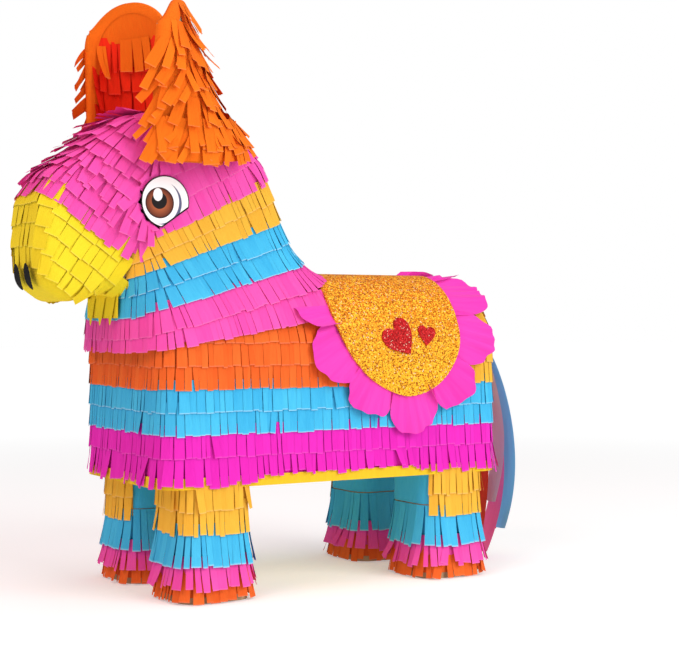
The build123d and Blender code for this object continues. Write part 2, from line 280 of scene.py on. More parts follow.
def crepe_strips(surface, roots, widths, hang, lengths, lift, rng, mess, steps, taper, turn):
    """Strips of crepe on a surface: each hangs from its root, crowned a little across.

    Offset out = root lift + rise * t^1.4; width = cut width * (1 - taper * t^2); t is 0 to 1 down.
    Mess scales what differs from strip to strip; a few loose strips stand out and lean.
    """
    count = len(roots)
    t = np.linspace(0, 1, steps + 1)
    loose = rng.random(count) < 0.05 * mess
    rise = (lift[1] - lift[0]) * (1 + 0.15 * mess * rng.random(count))
    rise = rise + loose * 0.0016 * mess * rng.random(count)
    lifts = lift[0] + rise[:, None] * t**1.4
    sway = turn + rng.normal(0, radians(0.8) * mess, count)
    sway = sway + loose * rng.normal(0, radians(5) * mess, count)
    place, side, normal = drape(surface, roots, hang, lengths, lifts, sway)
    across = np.array([-0.5, 0.0, 0.5])
    gap = 0.00006 + 0.00022 * rng.random(count)
    narrow = taper + 0.03 * rng.random(count)
    narrow = narrow + (rng.random(count) < 0.07 * mess) * 0.5 * rng.random(count)
    width = (widths[:, None] * spread(place) - gap[:, None]) * (1 - narrow[:, None] * t**2)
    twist = rng.normal(0, 0.06 * mess, count)[:, None] * t
    flat = side * np.cos(twist)[..., None] + normal * np.sin(twist)[..., None]
    crown = 0.00008 * (1 - 4 * across**2)
    points = place[:, :, None] + flat[:, :, None] * (across * width[..., None])[..., None]
    points = points + normal[:, :, None] * crown[:, None]
    uv = np.zeros(points.shape[:3] + (2,))
    uv[..., 0] = across * width[..., None] + (rng.random(count) * 5)[:, None, None]
    uv[..., 1] = (t * lengths[:, None])[..., None] + (rng.random(count) * 5)[:, None, None]
    return {"points": points, "uv": uv, "tint": rng.random(count), "along": t}


def plain_sheet(points, uv, tint=0.5):
    """A sheet of one tint, with no cut end."""
    return {"points": points, "uv": uv, "tint": np.array([tint]), "along": np.zeros(points.shape[1])}


def uncut_heading(surface, path, hang, length, lift, steps=4):
    """The uncut top of a row, glued flat to the card: a sheet under the strips."""
    total = length_of(np.diff(path, axis=0)).sum()
    roots = along_path(path, np.linspace(0, total, max(6, int(total / 0.006))))
    lifts = np.full((len(roots), steps + 1), lift)
    place, _, _ = drape(surface, roots, hang, np.full(len(roots), length), lifts, 0.0)
    points = place.transpose(1, 0, 2)[None]
    uv = np.zeros(points.shape[:3] + (2,))
    uv[..., 0] = np.linspace(0, total, len(roots))
    uv[..., 1] = np.linspace(0, length, steps + 1)[:, None]
    return plain_sheet(points[:, ::-1], uv[:, ::-1])


def paper_mesh(name, sheets):
    """One mesh from sheets of points, each (pieces, down, across, 3), with UV, tint and along."""
    vertices, faces, uvs, tints, alongs, first = [], [], [], [], [], 0
    for sheet in sheets:
        n, k, m, _ = sheet["points"].shape
        grid = first + np.arange(n * k * m).reshape(n, k, m)
        corners = (grid[:, :-1, :-1], grid[:, 1:, :-1], grid[:, 1:, 1:], grid[:, :-1, 1:])
        faces.append(np.stack(corners, -1).reshape(-1, 4))
        vertices.append(sheet["points"].reshape(-1, 3))
        uvs.append(sheet["uv"].reshape(-1, 2))
        tints.append(np.repeat(sheet["tint"], k * m))
        alongs.append(np.tile(np.repeat(sheet["along"], m), n))
        first += n * k * m
    mesh = bpy.data.meshes.new(name)
    mesh.from_pydata(np.concatenate(vertices), [], np.concatenate(faces))
    corner = np.empty(len(mesh.loops), np.int32)
    mesh.loops.foreach_get("vertex_index", corner)
    layer = mesh.uv_layers.new(name="cut")
    layer.data.foreach_set("uv", np.concatenate(uvs)[corner].ravel().astype(np.float32))
    for label, values in (("tint", tints), ("along", alongs)):
        attribute = mesh.attributes.new(label, "FLOAT", "POINT")
        attribute.data.foreach_set("value", np.concatenate(values).astype(np.float32))
    mesh.polygons.foreach_set("use_smooth", np.ones(len(mesh.polygons), bool))
    mesh.update()
    return mesh


def put_on(name, sheets, material, body, slot, *replaced):
    """Makes a piece of sheets of paper, with its finish, its body and the nodes that it replaces."""
    mesh = paper_mesh(name, sheets)
    piece = bpy.data.objects.new(name, mesh)
    bpy.context.scene.collection.objects.link(piece)
    mesh.materials.append(material)
    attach(piece, body)
    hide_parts(*replaced)


def crepe(name, pale, deep, edge):
    """Crepe paper: fine crinkles, a tint of its own for each strip, painted shade towards the root, and
    a cut end paler by edge, which is a painted highlight.
    """
    paper = Finish(name, Specular_IOR_Level=0.12)
    cut = paper.node("ShaderNodeUVMap", {"uv_map": "cut"})
    tint = paper.node("ShaderNodeAttribute", {"attribute_name": "tint"}, output=2)
    along = paper.node("ShaderNodeAttribute", {"attribute_name": "along"}, output=2)
    crinkle = paper.noise(paper.stretch(cut, (1600.0, 160.0, 1.0)), 1.0, 2.0)
    fold = paper.noise(paper.stretch(cut, (420.0, 70.0, 1.0)), 1.0, 1.0)
    # The along term is painted shade: each strip is deeper at its root, under the hem of the row above,
    # and paler towards its cut end.
    shade = tint * 0.42 + crinkle * 0.35 + fold * 0.38 - along * 0.18
    colour = paper.mix(shade, rgb(*pale), rgb(*deep))
    # Painted highlight: the cut end is lightened towards white, by the amount edge, as if it caught the
    # light.
    painted_end_highlight = along.over(0.975, 0.04) * edge
    white = tuple(0.40 + 0.60 * part for part in pale)
    paper.feed(Base_Color=paper.mix(painted_end_highlight, colour, rgb(*white)))
    paper.feed(Roughness=0.82 + crinkle * 0.16)
    paper.bump(crinkle * 0.6 + fold * 0.4, 0.5, 0.0005)
    return paper.material


orange_crepe = crepe("orange_crepe", (0.84, 0.17, 0.030), (0.72, 0.085, 0.012), 0.15)
sky_crepe = crepe("sky_crepe", (0.075, 0.54, 0.82), (0.030, 0.36, 0.68), 0.6)
magenta_crepe = crepe("magenta_crepe", (0.80, 0.030, 0.52), (0.66, 0.014, 0.40), 0.12)
mustard_crepe = crepe("mustard_crepe", (0.84, 0.50, 0.055), (0.74, 0.36, 0.030), 0.25)

STRIP = 0.0050  # mean width of a cut strip
DOWN = np.array([0.0, 0.0, -1.0])
X, Y, Z = np.eye(3)


def row_on(surface, path, hang, length, rng, strip=STRIP, lift=(0.0007, 0.0019), mess=1.0,
           sway=0.0, taper=0.0, steps=5):
    """One row from its path of roots: strips of uneven widths, and the uncut heading under them.

    Lift is how far the strips stand off the surface at the root and at the cut end.
    """
    total = length_of(np.diff(path, axis=0)).sum()
    count = max(2, int(total / strip))
    shares = 0.55 + 0.9 * rng.random(count)
    edges = np.concatenate([[0], np.cumsum(shares)]) * total / shares.sum()
    roots = along_path(path, (edges[1:] + edges[:-1]) / 2)
    lengths = (length(roots) if callable(length) else length) * (1 + rng.normal(0, 0.02 * mess, count))
    turn = sway(roots) if callable(sway) else sway
    widths = np.diff(edges)
    strips = crepe_strips(surface, roots, widths, hang, lengths, lift, rng, mess, steps, taper, turn)
    uncut = float(np.mean(lengths)) * 0.85
    return [strips, uncut_heading(surface, path, hang, uncut, lift[0] - 0.0003)]


def kept_part(path, keep):
    """The part of a closed path that a test keeps, as one run."""
    kept = keep(path)
    if kept.all():
        return path
    first = int(np.argmin(kept))
    return np.roll(path, -first, 0)[np.roll(kept, -first)]


def level_row(root, hem, rng, keep=None, lift=(0.0006, 0.0018), mess=1.0, dip=0.0):
    """One row round the body at a level, whose hem may dip over the legs."""
    path = contour(body_card, np.array([0, MIDDLE, root]), X, Y, 0, 360)
    path = kept_part(path, keep) if keep else path

    def reach(roots):
        past_gap = np.abs(roots[:, 1] - MIDDLE) - 0.068
        over_legs = 1 / (1 + np.exp(-past_gap / 0.006))
        return root - hem + dip * over_legs

    return row_on(body_card, path, DOWN, reach, rng, STRIP, lift, mess)


def before_saddle(p):
    return p[:, 1] < MIDDLE + 0.088


def behind_saddle(p):
    return p[:, 1] > MIDDLE + 0.080


# root and hem heights of each row
ORANGE_LEVELS = ((0.1945, 0.170), (0.180, 0.157), (0.164, 0.142))
BLUE_LEVELS = ((0.149, 0.127), (0.1345, 0.112))
MUSTARD_LEVELS = ((0.2150, 0.201), (0.2085, 0.186), (0.194, 0.172), (0.179, 0.157), (0.164, 0.142))
rng = np.random.default_rng(7)
orange_rows, blue_rows, mustard_rows = [], [], []
for root, hem in ORANGE_LEVELS:
    orange_rows += level_row(root, hem, rng, before_saddle)
for root, hem in BLUE_LEVELS:
    blue_rows += level_row(root, hem, rng)
magenta_rows = level_row(0.119, 0.097, rng)
magenta_rows += level_row(0.1045, 0.084, rng, lift=(0.0006, 0.0030), mess=2.4, dip=0.006)
for root, hem in MUSTARD_LEVELS:
    mustard_rows += level_row(root, hem, rng, behind_saddle)

put_on("body_orange", orange_rows, orange_crepe, "donkey", "orange_crepe", "body_fringe_orange")
put_on("body_blue", blue_rows, sky_crepe, "donkey", "blue_crepe", "body_fringe_blue")
put_on("body_magenta", magenta_rows, magenta_crepe, "donkey", "magenta_crepe", "body_fringe_magenta")
put_on("rump_mustard", mustard_rows, mustard_crepe, "donkey", "mustard_crepe", "rump_fringe_mustard")

# ---------------------------------------------------------------- neck fringe
# Three bands of two rows each climb the neck, and each band slopes more than the one below it:
# pink over the shoulders, then sky blue, then mustard. Blue and mustard leave the throat bare.
# Places in a side view are (y from the body's middle, z).
NECK_SIDE = [(-0.1355, 0.120), (-0.1355, 0.214), (-0.1575, 0.262), (-0.1575, 0.298)]
NECK_SIDE += [(-0.1375, 0.325), (-0.072, 0.325), (-0.043, 0.299), (-0.026, 0.252)]
NECK_SIDE += [(-0.014, 0.205), (-0.014, 0.120)]
NECK_BEND = 0.022
NECK_HALF = 0.042
NECK_ROUNDING = 0.018
SHOULDER_FILL = 0.046  # how softly neck and body run together


def shrink(outline, amount):
    """A closed outline with every side moved inwards, its corners where the moved sides meet."""
    points = np.array(outline)
    run = np.roll(points, -1, 0) - points
    run = run / length_of(run)[:, None]
    area = turned(points, np.roll(points, -1, 0)).sum()
    inward = np.stack([-run[:, 1], run[:, 0]], -1) * np.sign(area)
    moved = points + inward * amount
    before, start = np.roll(run, 1, 0), np.roll(moved, 1, 0)
    reach = turned(moved - start, run) / turned(before, run)
    return start + before * reach[:, None]


def turned(a, b):
    """Flat cross product."""
    return a[:, 0] * b[:, 1] - a[:, 1] * b[:, 0]


def outline_distance(outline, y, z):
    """Distance from a closed outline in the side view, negative inside it."""
    near = np.full(y.shape, np.inf)
    inside = np.zeros(y.shape, bool)
    for (ay, az), (by, bz) in zip(outline, np.roll(outline, -1, 0)):
        run = (by - ay) ** 2 + (bz - az) ** 2
        t = np.clip(((y - ay) * (by - ay) + (z - az) * (bz - az)) / run, 0, 1)
        near = np.minimum(near, np.hypot(y - ay - t * (by - ay), z - az - t * (bz - az)))
        crossing = ((az > z) != (bz > z)) & (y < (by - ay) * (z - az) / (bz - az + 1e-12) + ay)
        inside ^= crossing
    return np.where(inside, -near, near)


def slab_distance(p, core, bend, half, rounding):
    """Distance from a side outline carried across X, given its shrunken core and its roundings."""
    flat = outline_distance(core, p[..., 1] - MIDDLE, p[..., 2]) - bend + rounding
    return corner_distance(flat, np.abs(p[..., 0]) - half + rounding) - rounding


NECK_CORE = shrink(NECK_SIDE, NECK_BEND)


def neck_card(p):
    """Distance from the neck and skull."""
    return slab_distance(p, NECK_CORE, NECK_BEND, NECK_HALF, NECK_ROUNDING)


def blend_distance(a, b, soft):
    """The nearer of two distances, eased over a soft width so that the inner corner is filled."""
    ease = np.maximum(soft - np.abs(a - b), 0) / soft
    return np.minimum(a, b) - ease * ease * soft / 4


def torso_card(p):
    """Distance from body and neck together."""
    return blend_distance(body_card(p), neck_card(p), SHOULDER_FILL)


def sloping_path(surface, point, slope, middle):
    """Where a sloping plane through a side-view point cuts a surface, and its downward normal."""
    normal = np.array([0, -sin(slope), cos(slope)])
    along = np.array([0, cos(slope), sin(slope)])
    start = np.array([0, MIDDLE + point[0], point[1]])
    inner = np.array([0, MIDDLE + middle[0], middle[1]])
    centre = start + along * ((inner - start) @ along)
    return contour(surface, centre, X, along, 0, 360), -normal


def sloping_row(hem, length, rng, keep, middle=(-0.075, 0.24)):
    """One row whose hem passes two points of the side view, at the front and at the back."""
    (ya, za), (yb, zb) = hem
    slope = atan((zb - za) / (yb - ya))
    root = (ya - sin(slope) * length, za + cos(slope) * length)
    path, down = sloping_path(torso_card, root, slope, middle)
    return row_on(torso_card, kept_part(path, keep), down, length, rng)


def before_back(p):
    return p[:, 1] < MIDDLE + 0.006


def beside_throat(p):
    return (p[:, 1] > MIDDLE - 0.1) | (np.abs(p[:, 0]) > 0.008)


pink_crepe = crepe("pink_crepe", (0.87, 0.105, 0.45), (0.78, 0.055, 0.35), 0.15)
PINK_HEMS = [((-0.130, 0.178), (-0.021, 0.204)), ((-0.120, 0.170), (-0.074, 0.177))]
BLUE_HEMS = [((-0.141, 0.203), (-0.025, 0.242)), ((-0.142, 0.1885), (-0.021, 0.224))]
MUSTARD_HEMS = [((-0.140, 0.227), (-0.035, 0.273)), ((-0.140, 0.217), (-0.030, 0.258))]
pink_rows, neck_blue_rows, neck_mustard_rows = [], [], []
for hem in PINK_HEMS:
    pink_rows += sloping_row(hem, 0.0225, rng, before_back, (-0.06, 0.19))
for hem in BLUE_HEMS:
    neck_blue_rows += sloping_row(hem, 0.0205, rng, beside_throat)
for hem in MUSTARD_HEMS:
    neck_mustard_rows += sloping_row(hem, 0.018, rng, beside_throat)
put_on("shoulder_pink", pink_rows, pink_crepe, "donkey", "pink_crepe", "chest_fringe_pink")
put_on("neck_blue", neck_blue_rows, sky_crepe, "donkey", "blue_crepe", "neck_fringe_blue")
mustard = ("donkey", "mustard_crepe", "neck_fringe_mustard")
put_on("neck_mustard", neck_mustard_rows, mustard_crepe, *mustard)

# ---------------------------------------------------------------- head fringe
# Two families of pink rows meet beside the eye. Behind it they hang down and back; before it and
# over the forehead they are closer, rougher and point down and forwards, over the yellow muzzle.
# Four rows across the crown, between the ears, lie towards the back.
FACE_SIDE = [(-0.1215, 0.204), (-0.1405, 0.203), (-0.1605, 0.209), (-0.186, 0.200)]
FACE_SIDE += [(-0.203, 0.212), (-0.206, 0.240), (-0.204, 0.268), (-0.194, 0.287)]
FACE_SIDE += [(-0.1475, 0.321), (-0.1215, 0.321)]
FACE_BEND = 0.0135
FACE_HALF = 0.031
FACE_ROUNDING = 0.012
BROW_FILL = 0.022  # how softly skull and face run together
FACE_CORE = shrink(FACE_SIDE, FACE_BEND)


def face_card(p):
    """Distance from the nose bridge and muzzle."""
    return slab_distance(p, FACE_CORE, FACE_BEND, FACE_HALF, FACE_ROUNDING)


def head_card(p):
    """Distance from skull and face together."""
    return blend_distance(neck_card(p), face_card(p), BROW_FILL)


CHEEK = np.array([0, MIDDLE - 0.147, 0.233])
FORWARD = np.array([0, -0.596, -0.803])  # the way that strips hang before the eye
BACKWARD = np.array([0, 0.443, -0.896])  # and behind it


def behind_eye(p):
    """How far a place lies behind the line from the cheek up past the eye."""
    out = p - CHEEK
    return out[:, 1] - 0.24 * out[:, 2]


def head_hang(p):
    """The hang turns from forwards to backwards across the eye line."""
    t = np.clip((behind_eye(p) - 0.006) / 0.030 + 0.5, 0, 1)
    t = (t * t * (3 - 2 * t))[:, None]
    return FORWARD * (1 - t) + BACKWARD * t


def plane_path(surface, height, down, middle):
    """Where the plane at a height above the cheek, square to the hang, cuts a surface."""
    along = np.array([0, -down[2], down[1]])
    inner = np.array([0, MIDDLE + middle[0], middle[1]])
    centre = inner - down * (height + (inner - CHEEK) @ down)
    return contour(surface, centre, X, along, 0, 360)


def before_eye(p):
    return behind_eye(p) < 0.010


def past_eye(p):
    return behind_eye(p) > 0.002


REAR_PITCH, FRONT_PITCH = 0.0165, 0.0102  # between rows
CROWN_ROOTS = (-0.128, -0.115, -0.102, -0.089)
head_rows = []
for row in range(4):
    height = REAR_PITCH * (row + 1) + 0.006
    path = kept_part(plane_path(head_card, height, BACKWARD, (-0.085, 0.28)), past_eye)
    head_rows += row_on(head_card, path, head_hang, 0.0225, rng, STRIP, (0.0007, 0.0021))
for row in range(8):
    height, lift = FRONT_PITCH * (row + 1) + 0.007, (0.0010, 0.0030 + 0.0004 * row)
    path = kept_part(plane_path(head_card, height, FORWARD, (-0.125, 0.27)), before_eye)
    head_rows += row_on(head_card, path, head_hang, 0.020, rng, STRIP, lift, 2.4)
for back in CROWN_ROOTS:
    path = contour(head_card, np.array([0, MIDDLE + back, 0.290]), X, Z, 28, 152)
    head_rows += row_on(head_card, path, Y + 0.3 * DOWN, 0.021, rng, STRIP, (0.0010, 0.0034), 1.6)
EYE = (MIDDLE - 0.124, 0.268)
EYE_REACH = 0.0205  # radius of the place that the sticker presses flat
EYE_BACK = 0.0437  # X of the sticker's back
for sheet in head_rows:
    p = sheet["points"]
    under = np.hypot(p[..., 1] - EYE[0], p[..., 2] - EYE[1]) < EYE_REACH
    p[..., 0] = np.where(under, np.clip(p[..., 0], -EYE_BACK, EYE_BACK), p[..., 0])
put_on("head_pink", head_rows, pink_crepe, "donkey", "pink_crepe", "head_fringe_pink")

# ---------------------------------------------------------------- muzzle
# A plain yellow wrap, then wide yellow strips that carry the forehead's slope on round the muzzle.
# Pointed strips hang from the jaw over the bare throat and end in a zigzag on the pink chest.
yellow_crepe = crepe("yellow_crepe", (0.85, 0.72, 0.030), (0.76, 0.57, 0.014), 0.12)


def muzzle_wrap():
    """Plain paper over the muzzle: rays at an angle b from the snout's line, at a turn a round it."""
    a, b = np.meshgrid(np.linspace(0, 2 * pi, 97), np.linspace(0.01, radians(84), 40))
    ahead, above = np.array([0, -0.84, -0.54]), np.array([0, -0.54, 0.84])
    across, up = (np.sin(b) * np.cos(a))[..., None], (np.sin(b) * np.sin(a))[..., None]
    rays = np.cos(b)[..., None] * ahead + across * X + up * above
    points = cast(face_card, np.array([0, MIDDLE - 0.165, 0.243]), rays, 0.0006)[None]
    uv = np.stack([a * 0.04, b * 0.05], -1)[None]
    return plain_sheet(points[:, :, ::-1], uv[:, :, ::-1], 0.45)


def on_muzzle(p):
    return p[:, 1] < MIDDLE - 0.1420


def on_throat(p):
    return (p[:, 1] < MIDDLE - 0.1) & (np.abs(p[:, 0]) < 0.026)


def muzzle_hang(p):
    """Down and forwards on the muzzle, but straight down at its front."""
    front = np.clip((MIDDLE - 0.190 - p[:, 1]) / 0.02, 0, 1)[:, None]
    return FORWARD + front * np.array([0, 0.4, -0.3])


def throat_row(height, length, strip, lift, mess, taper=0.0):
    """One row across the throat from a height on the neck."""
    path = contour(neck_card, np.array([0, MIDDLE - 0.100, height]), X, Y, 0, 360)
    path = kept_part(path, on_throat)
    return row_on(torso_card, path, DOWN, length, rng, strip, lift, mess, taper=taper)


muzzle_rows = [muzzle_wrap()]
for height in (0.012, -0.001, -0.014, -0.026):
    path = kept_part(plane_path(head_card, height, FORWARD, (-0.170, 0.245)), on_muzzle)
    muzzle_rows += row_on(head_card, path, muzzle_hang, 0.021, rng, 0.0095, (0.0010, 0.0024), 0.8)
muzzle_rows += throat_row(0.226, 0.022, 0.011, (0.0026, 0.0042), 0.6)
muzzle_rows += throat_row(0.217, 0.033, 0.017, (0.0040, 0.0052), 0.4, 0.9)
put_on("muzzle_yellow", muzzle_rows, yellow_crepe, "donkey", "yellow_crepe", "muzzle_wrap_yellow")

# ---------------------------------------------------------------- ears
# Curled card horns, orange outside and red-orange inside. Their strips are long and ruffled, and
# stick out past both edges; the lowest rows spread over the crown. The edge is bound in paper.
ear_orange = crepe("ear_orange", (0.87, 0.20, 0.010), (0.76, 0.115, 0.006), 0.1)
ear_red = crepe("ear_red", (0.90, 0.045, 0.010), (0.78, 0.014, 0.006), 0.05)
EAR_HALF = 0.033
EAR_LOW = (-0.022, 0.046)  # local height of the lower edge, and the curl's depth there
EAR_TIP_DEPTH = 0.009
EAR_HEIGHT = {1: 0.080, -1: 0.093}
LINING_INSET = 0.0036  # the card and its glue
EAR_FILL = 0.030  # how softly the outer skirt runs onto the crown


class Ear:
    """One curled ear in its own frame: x^2/w^2 + y^2/d(z)^2 = 1, with d falling to the tip."""

    def __init__(self, side):
        self.height = EAR_HEIGHT[side]
        lean, turn = radians(4 * side), radians(-38 * side)
        tilt = np.array([[cos(lean), 0, sin(lean)], [0, 1, 0], [-sin(lean), 0, cos(lean)]])
        twist = np.array([[cos(turn), -sin(turn), 0], [sin(turn), cos(turn), 0], [0, 0, 1]])
        self.axes = tilt @ twist
        self.seat = np.array([0.032 * side, MIDDLE - 0.118, 0.325])

    def depth(self, z):
        t = np.clip((z - EAR_LOW[0]) / (self.height - EAR_LOW[0]), 0, 1)
        return EAR_LOW[1] + (EAR_TIP_DEPTH - EAR_LOW[1]) * t

    def half(self, z):
        """Half-width of the front outline, which ends in a round tip."""
        above = np.clip(z - (self.height - EAR_HALF), 0, EAR_HALF)
        return np.sqrt(np.maximum(EAR_HALF**2 - above**2, 0))

    def edge(self, z, least):
        """Angle round the curl where a row starts at a height, in degrees in from the outline."""
        return float(np.degrees(np.arccos(min(1.0, self.half(z) / EAR_HALF)))) + least

    def world(self, q):
        return q @ self.axes.T + self.seat

    def local(self, p):
        return (p - self.seat) @ self.axes

    def skin(self, p, inset=0.0):
        """Distance outside the curl, or outside a smaller one."""
        q = self.local(p)
        wide, deep = EAR_HALF - inset, self.depth(q[..., 2]) - inset
        return (np.hypot(q[..., 0] / wide, q[..., 1] / deep) - 1) * wide

    def arc(self, z, start, stop, inset=0.0):
        """Points round the curl at a height, between two angles."""
        a = np.radians(np.linspace(start, stop, 181))
        z = np.full(len(a), z)
        q = np.stack([(EAR_HALF - inset) * np.cos(a), (self.depth(z) - inset) * np.sin(a), z], -1)
        return self.world(q)


def ear_pieces(side, rng):
    """Outer rows, skirt and rim of one ear in orange, and the inner rows in red-orange."""
    ear = Ear(side)
    down = -ear.axes[:, 2]

    def inside(p):
        return -ear.skin(p, LINING_INSET)

    def seated(p):
        return blend_distance(inside(p), head_card(p), 0.008)

    def skirt(p):
        return blend_distance(ear.skin(p), head_card(p), EAR_FILL)

    def flare(amount):
        def turn(roots):
            lean = -amount * (ear.local(roots)[:, 0] / EAR_HALF) ** 3
            return lean + rng.normal(0, 0.24, len(roots))

        return turn

    orange, red = [], []
    for z in np.arange(ear.height - 0.004, -0.006, -0.0125):
        edge = ear.edge(z, 2.0)
        path, lift = ear.arc(z, edge, 180 - edge), (0.0010, 0.0050)
        orange += row_on(ear.skin, path, down, 0.022, rng, 0.0050, lift, 2.8, flare(0.60))
    for z in (-0.001, -0.010):
        path, lift = ear.arc(z, 2, 178), (0.0026, 0.0052)
        orange += row_on(skirt, path, down, 0.023, rng, 0.0056, lift, 2.2, flare(0.5), steps=7)
    for z in np.arange(ear.height - 0.022, 0.010, -0.0135):
        edge = ear.edge(z, 6.0)
        path = ear.arc(z, 180 - edge, edge, 0.0040)
        red += row_on(inside, path, down, 0.026, rng, 0.0060, (0.0004, 0.0030), 2.2)
    for z, length, rows in ((0.006, 0.024, red), (-0.003, 0.021, red), (-0.010, 0.020, orange)):
        path = ear.arc(z, 176, 4, 0.0044)
        rows += row_on(seated, path, down, length, rng, 0.0062, (0.0006, 0.0026), 1.0, steps=7)
    few = ear.arc(ear.height - 0.024, 112, 62, 0.0040)
    orange += row_on(inside, few, down, 0.024, rng, 0.0062, (0.0016, 0.0050), 2.0)
    few = ear.arc(ear.height - 0.028, 160, 138, 0.0040)
    orange += row_on(inside, few, down, 0.026, rng, 0.0062, (0.0016, 0.0060), 3.0)
    orange += [ear_cap(ear), ear_rim(ear)]
    return orange, red


def ear_cap(ear):
    """Plain paper over the inside of the tip, down to a little below its widest place."""
    u, v = np.meshgrid(np.linspace(-1, 1, 41), np.linspace(0, 1, 14))
    z = ear.height - 0.0006 - v * 0.026
    x = u * (ear.half(z) - 0.0036)
    deep = ear.depth(z) - 0.0040 - 0.0006 * v
    y = deep * np.sqrt(np.maximum(1 - (x / (EAR_HALF - 0.0030)) ** 2, 0))
    points = ear.world(np.stack([x, y, z], -1))[None]
    uv = np.stack([x, z], -1)[None]
    return plain_sheet(points, uv, 0.6)


RIM_RINGS = [(0.007, 0.0007), (0.0, 0.0012), (-0.0010, -0.0015), (0.0, -0.0042), (0.007, -0.0046)]


def ear_rim(ear):
    """Paper folded over the card's edge: rings along the outline, each (reach in from it, growth).

    On the straight sides a ring turns in round the curl; round the tip it follows a smaller arch.
    """
    straight = 23
    a = np.linspace(0, pi, 61)
    shoulder = ear.height - EAR_HALF
    rise = np.linspace(EAR_LOW[0] + 0.001, shoulder, straight + 1)[:-1]
    turn = np.concatenate([np.zeros(straight), a, np.full(straight, pi)])
    z = np.concatenate([rise, shoulder + EAR_HALF * np.sin(a), rise[::-1]])
    tip = np.concatenate([np.zeros(straight), np.sin(a), np.zeros(straight)])
    rings = []
    for reach, grow in RIM_RINGS:
        level = z - tip * reach
        deep = ear.depth(level) + grow
        phi = turn + np.sign(pi / 2 - turn) * (1 - tip) * reach / np.maximum(deep, 0.012)
        side = np.stack([(EAR_HALF + grow) * np.cos(phi), deep * np.sin(phi), level], -1)
        x, level = (EAR_HALF - reach) * np.cos(turn), shoulder + (EAR_HALF - reach) * np.sin(turn)
        wide, deep = EAR_HALF + max(grow, -0.0038), ear.depth(level) + max(grow, -0.0038)
        y = deep * np.sqrt(np.maximum(1 - (x / wide) ** 2, 0))
        if grow < -0.003:
            x, y = np.clip(x, -wide, wide), y - 0.0008
        top = np.stack([x, y, level], -1)
        rings.append(np.where(tip[:, None] > 0.01, top, side))
    points = ear.world(np.stack(rings))[None]
    places = np.meshgrid(np.arange(len(z)) * 0.004, np.arange(len(RIM_RINGS)) * 0.004)
    return plain_sheet(points, np.stack(places, -1)[None])


for side, word in ((1, "left"), (-1, "right")):
    orange, red = ear_pieces(side, rng)
    fringe, lining = f"ear_fringe_{word}", f"ear_lining_{word}"
    put_on(f"ear_strips_{word}", orange, ear_orange, "donkey", "orange_crepe", fringe)
    put_on(f"ear_inside_{word}", red, ear_red, "donkey", "red_crepe", lining)

# ---------------------------------------------------------------- legs
# Each leg tube is wrapped in plain blue paper. Mustard rows cover only its outward faces; below
# them a long blue row flares out over a ragged pink one, and orange strips tuck in under the sole.
leg_low, leg_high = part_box("leg_front_left")
LEG_HALF = (leg_high[0] - leg_low[0]) / 2
LEG_X = (leg_high[0] + leg_low[0]) / 2
LEG_Y = MIDDLE - (leg_high[1] + leg_low[1]) / 2
LEG_CORNER = 0.012
OUTER_SPAN = (-44, 136)  # degrees of the outward faces
OFF_FLOOR = 0.0006


def leg_card(p):
    """Distance from the four leg tubes, folded onto one: a rounded square carried along Z."""
    x = np.abs(np.abs(p[..., 0]) - LEG_X) - LEG_HALF + LEG_CORNER
    y = np.abs(np.abs(p[..., 1] - MIDDLE) - LEG_Y) - LEG_HALF + LEG_CORNER
    return corner_distance(x, y) - LEG_CORNER


def leg_row(side, fore, root, hem, rng, lift, span=(-180, 180), mess=1.0):
    """One row round a leg; angle 0 faces outwards, and 90 is towards the chest or rump."""
    centre = np.array([side * LEG_X, MIDDLE + fore * LEG_Y, root])
    path = contour(leg_card, centre, side * X, fore * Y, *span, reach=0.05)
    if side * fore < 0:
        path = path[::-1]
    sheets = row_on(leg_card, path, DOWN, root - hem, rng, STRIP, lift, mess)
    sheets[0]["points"][..., 2] = np.maximum(sheets[0]["points"][..., 2], OFF_FLOOR)
    return sheets


leg_pieces = {"mustard": [], "blue": [], "pink": [], "orange": []}
for side in (1, -1):
    for fore in (-1, 1):
        leg = (side, fore)
        mustard, blue = leg_pieces["mustard"], leg_pieces["blue"]
        mustard += leg_row(*leg, 0.0835, 0.0615, rng, (0.0014, 0.0026), OUTER_SPAN, 1.5)
        mustard += leg_row(*leg, 0.0685, 0.0455, rng, (0.0012, 0.0028), OUTER_SPAN)
        blue += leg_row(*leg, 0.0775, 0.050, rng, (0.0008, 0.0009))[1:]  # its heading alone: the wrap
        blue += leg_row(*leg, 0.0535, 0.0245, rng, (0.0010, 0.0056))
        leg_pieces["pink"] += leg_row(*leg, 0.032, 0.0105, rng, (0.0024, 0.0064), mess=2.4)
        leg_pieces["orange"] += leg_row(*leg, 0.024, 0.0012, rng, (0.0014, 0.0044), mess=2.0)
leg_crepe = {"mustard": mustard_crepe, "blue": sky_crepe, "pink": pink_crepe, "orange": orange_crepe}
for colour, rows in leg_pieces.items():
    slot, node = f"{colour}_crepe", f"leg_fringe_{colour}"
    put_on(f"legs_{colour}", rows, leg_crepe[colour], "donkey", slot, node)

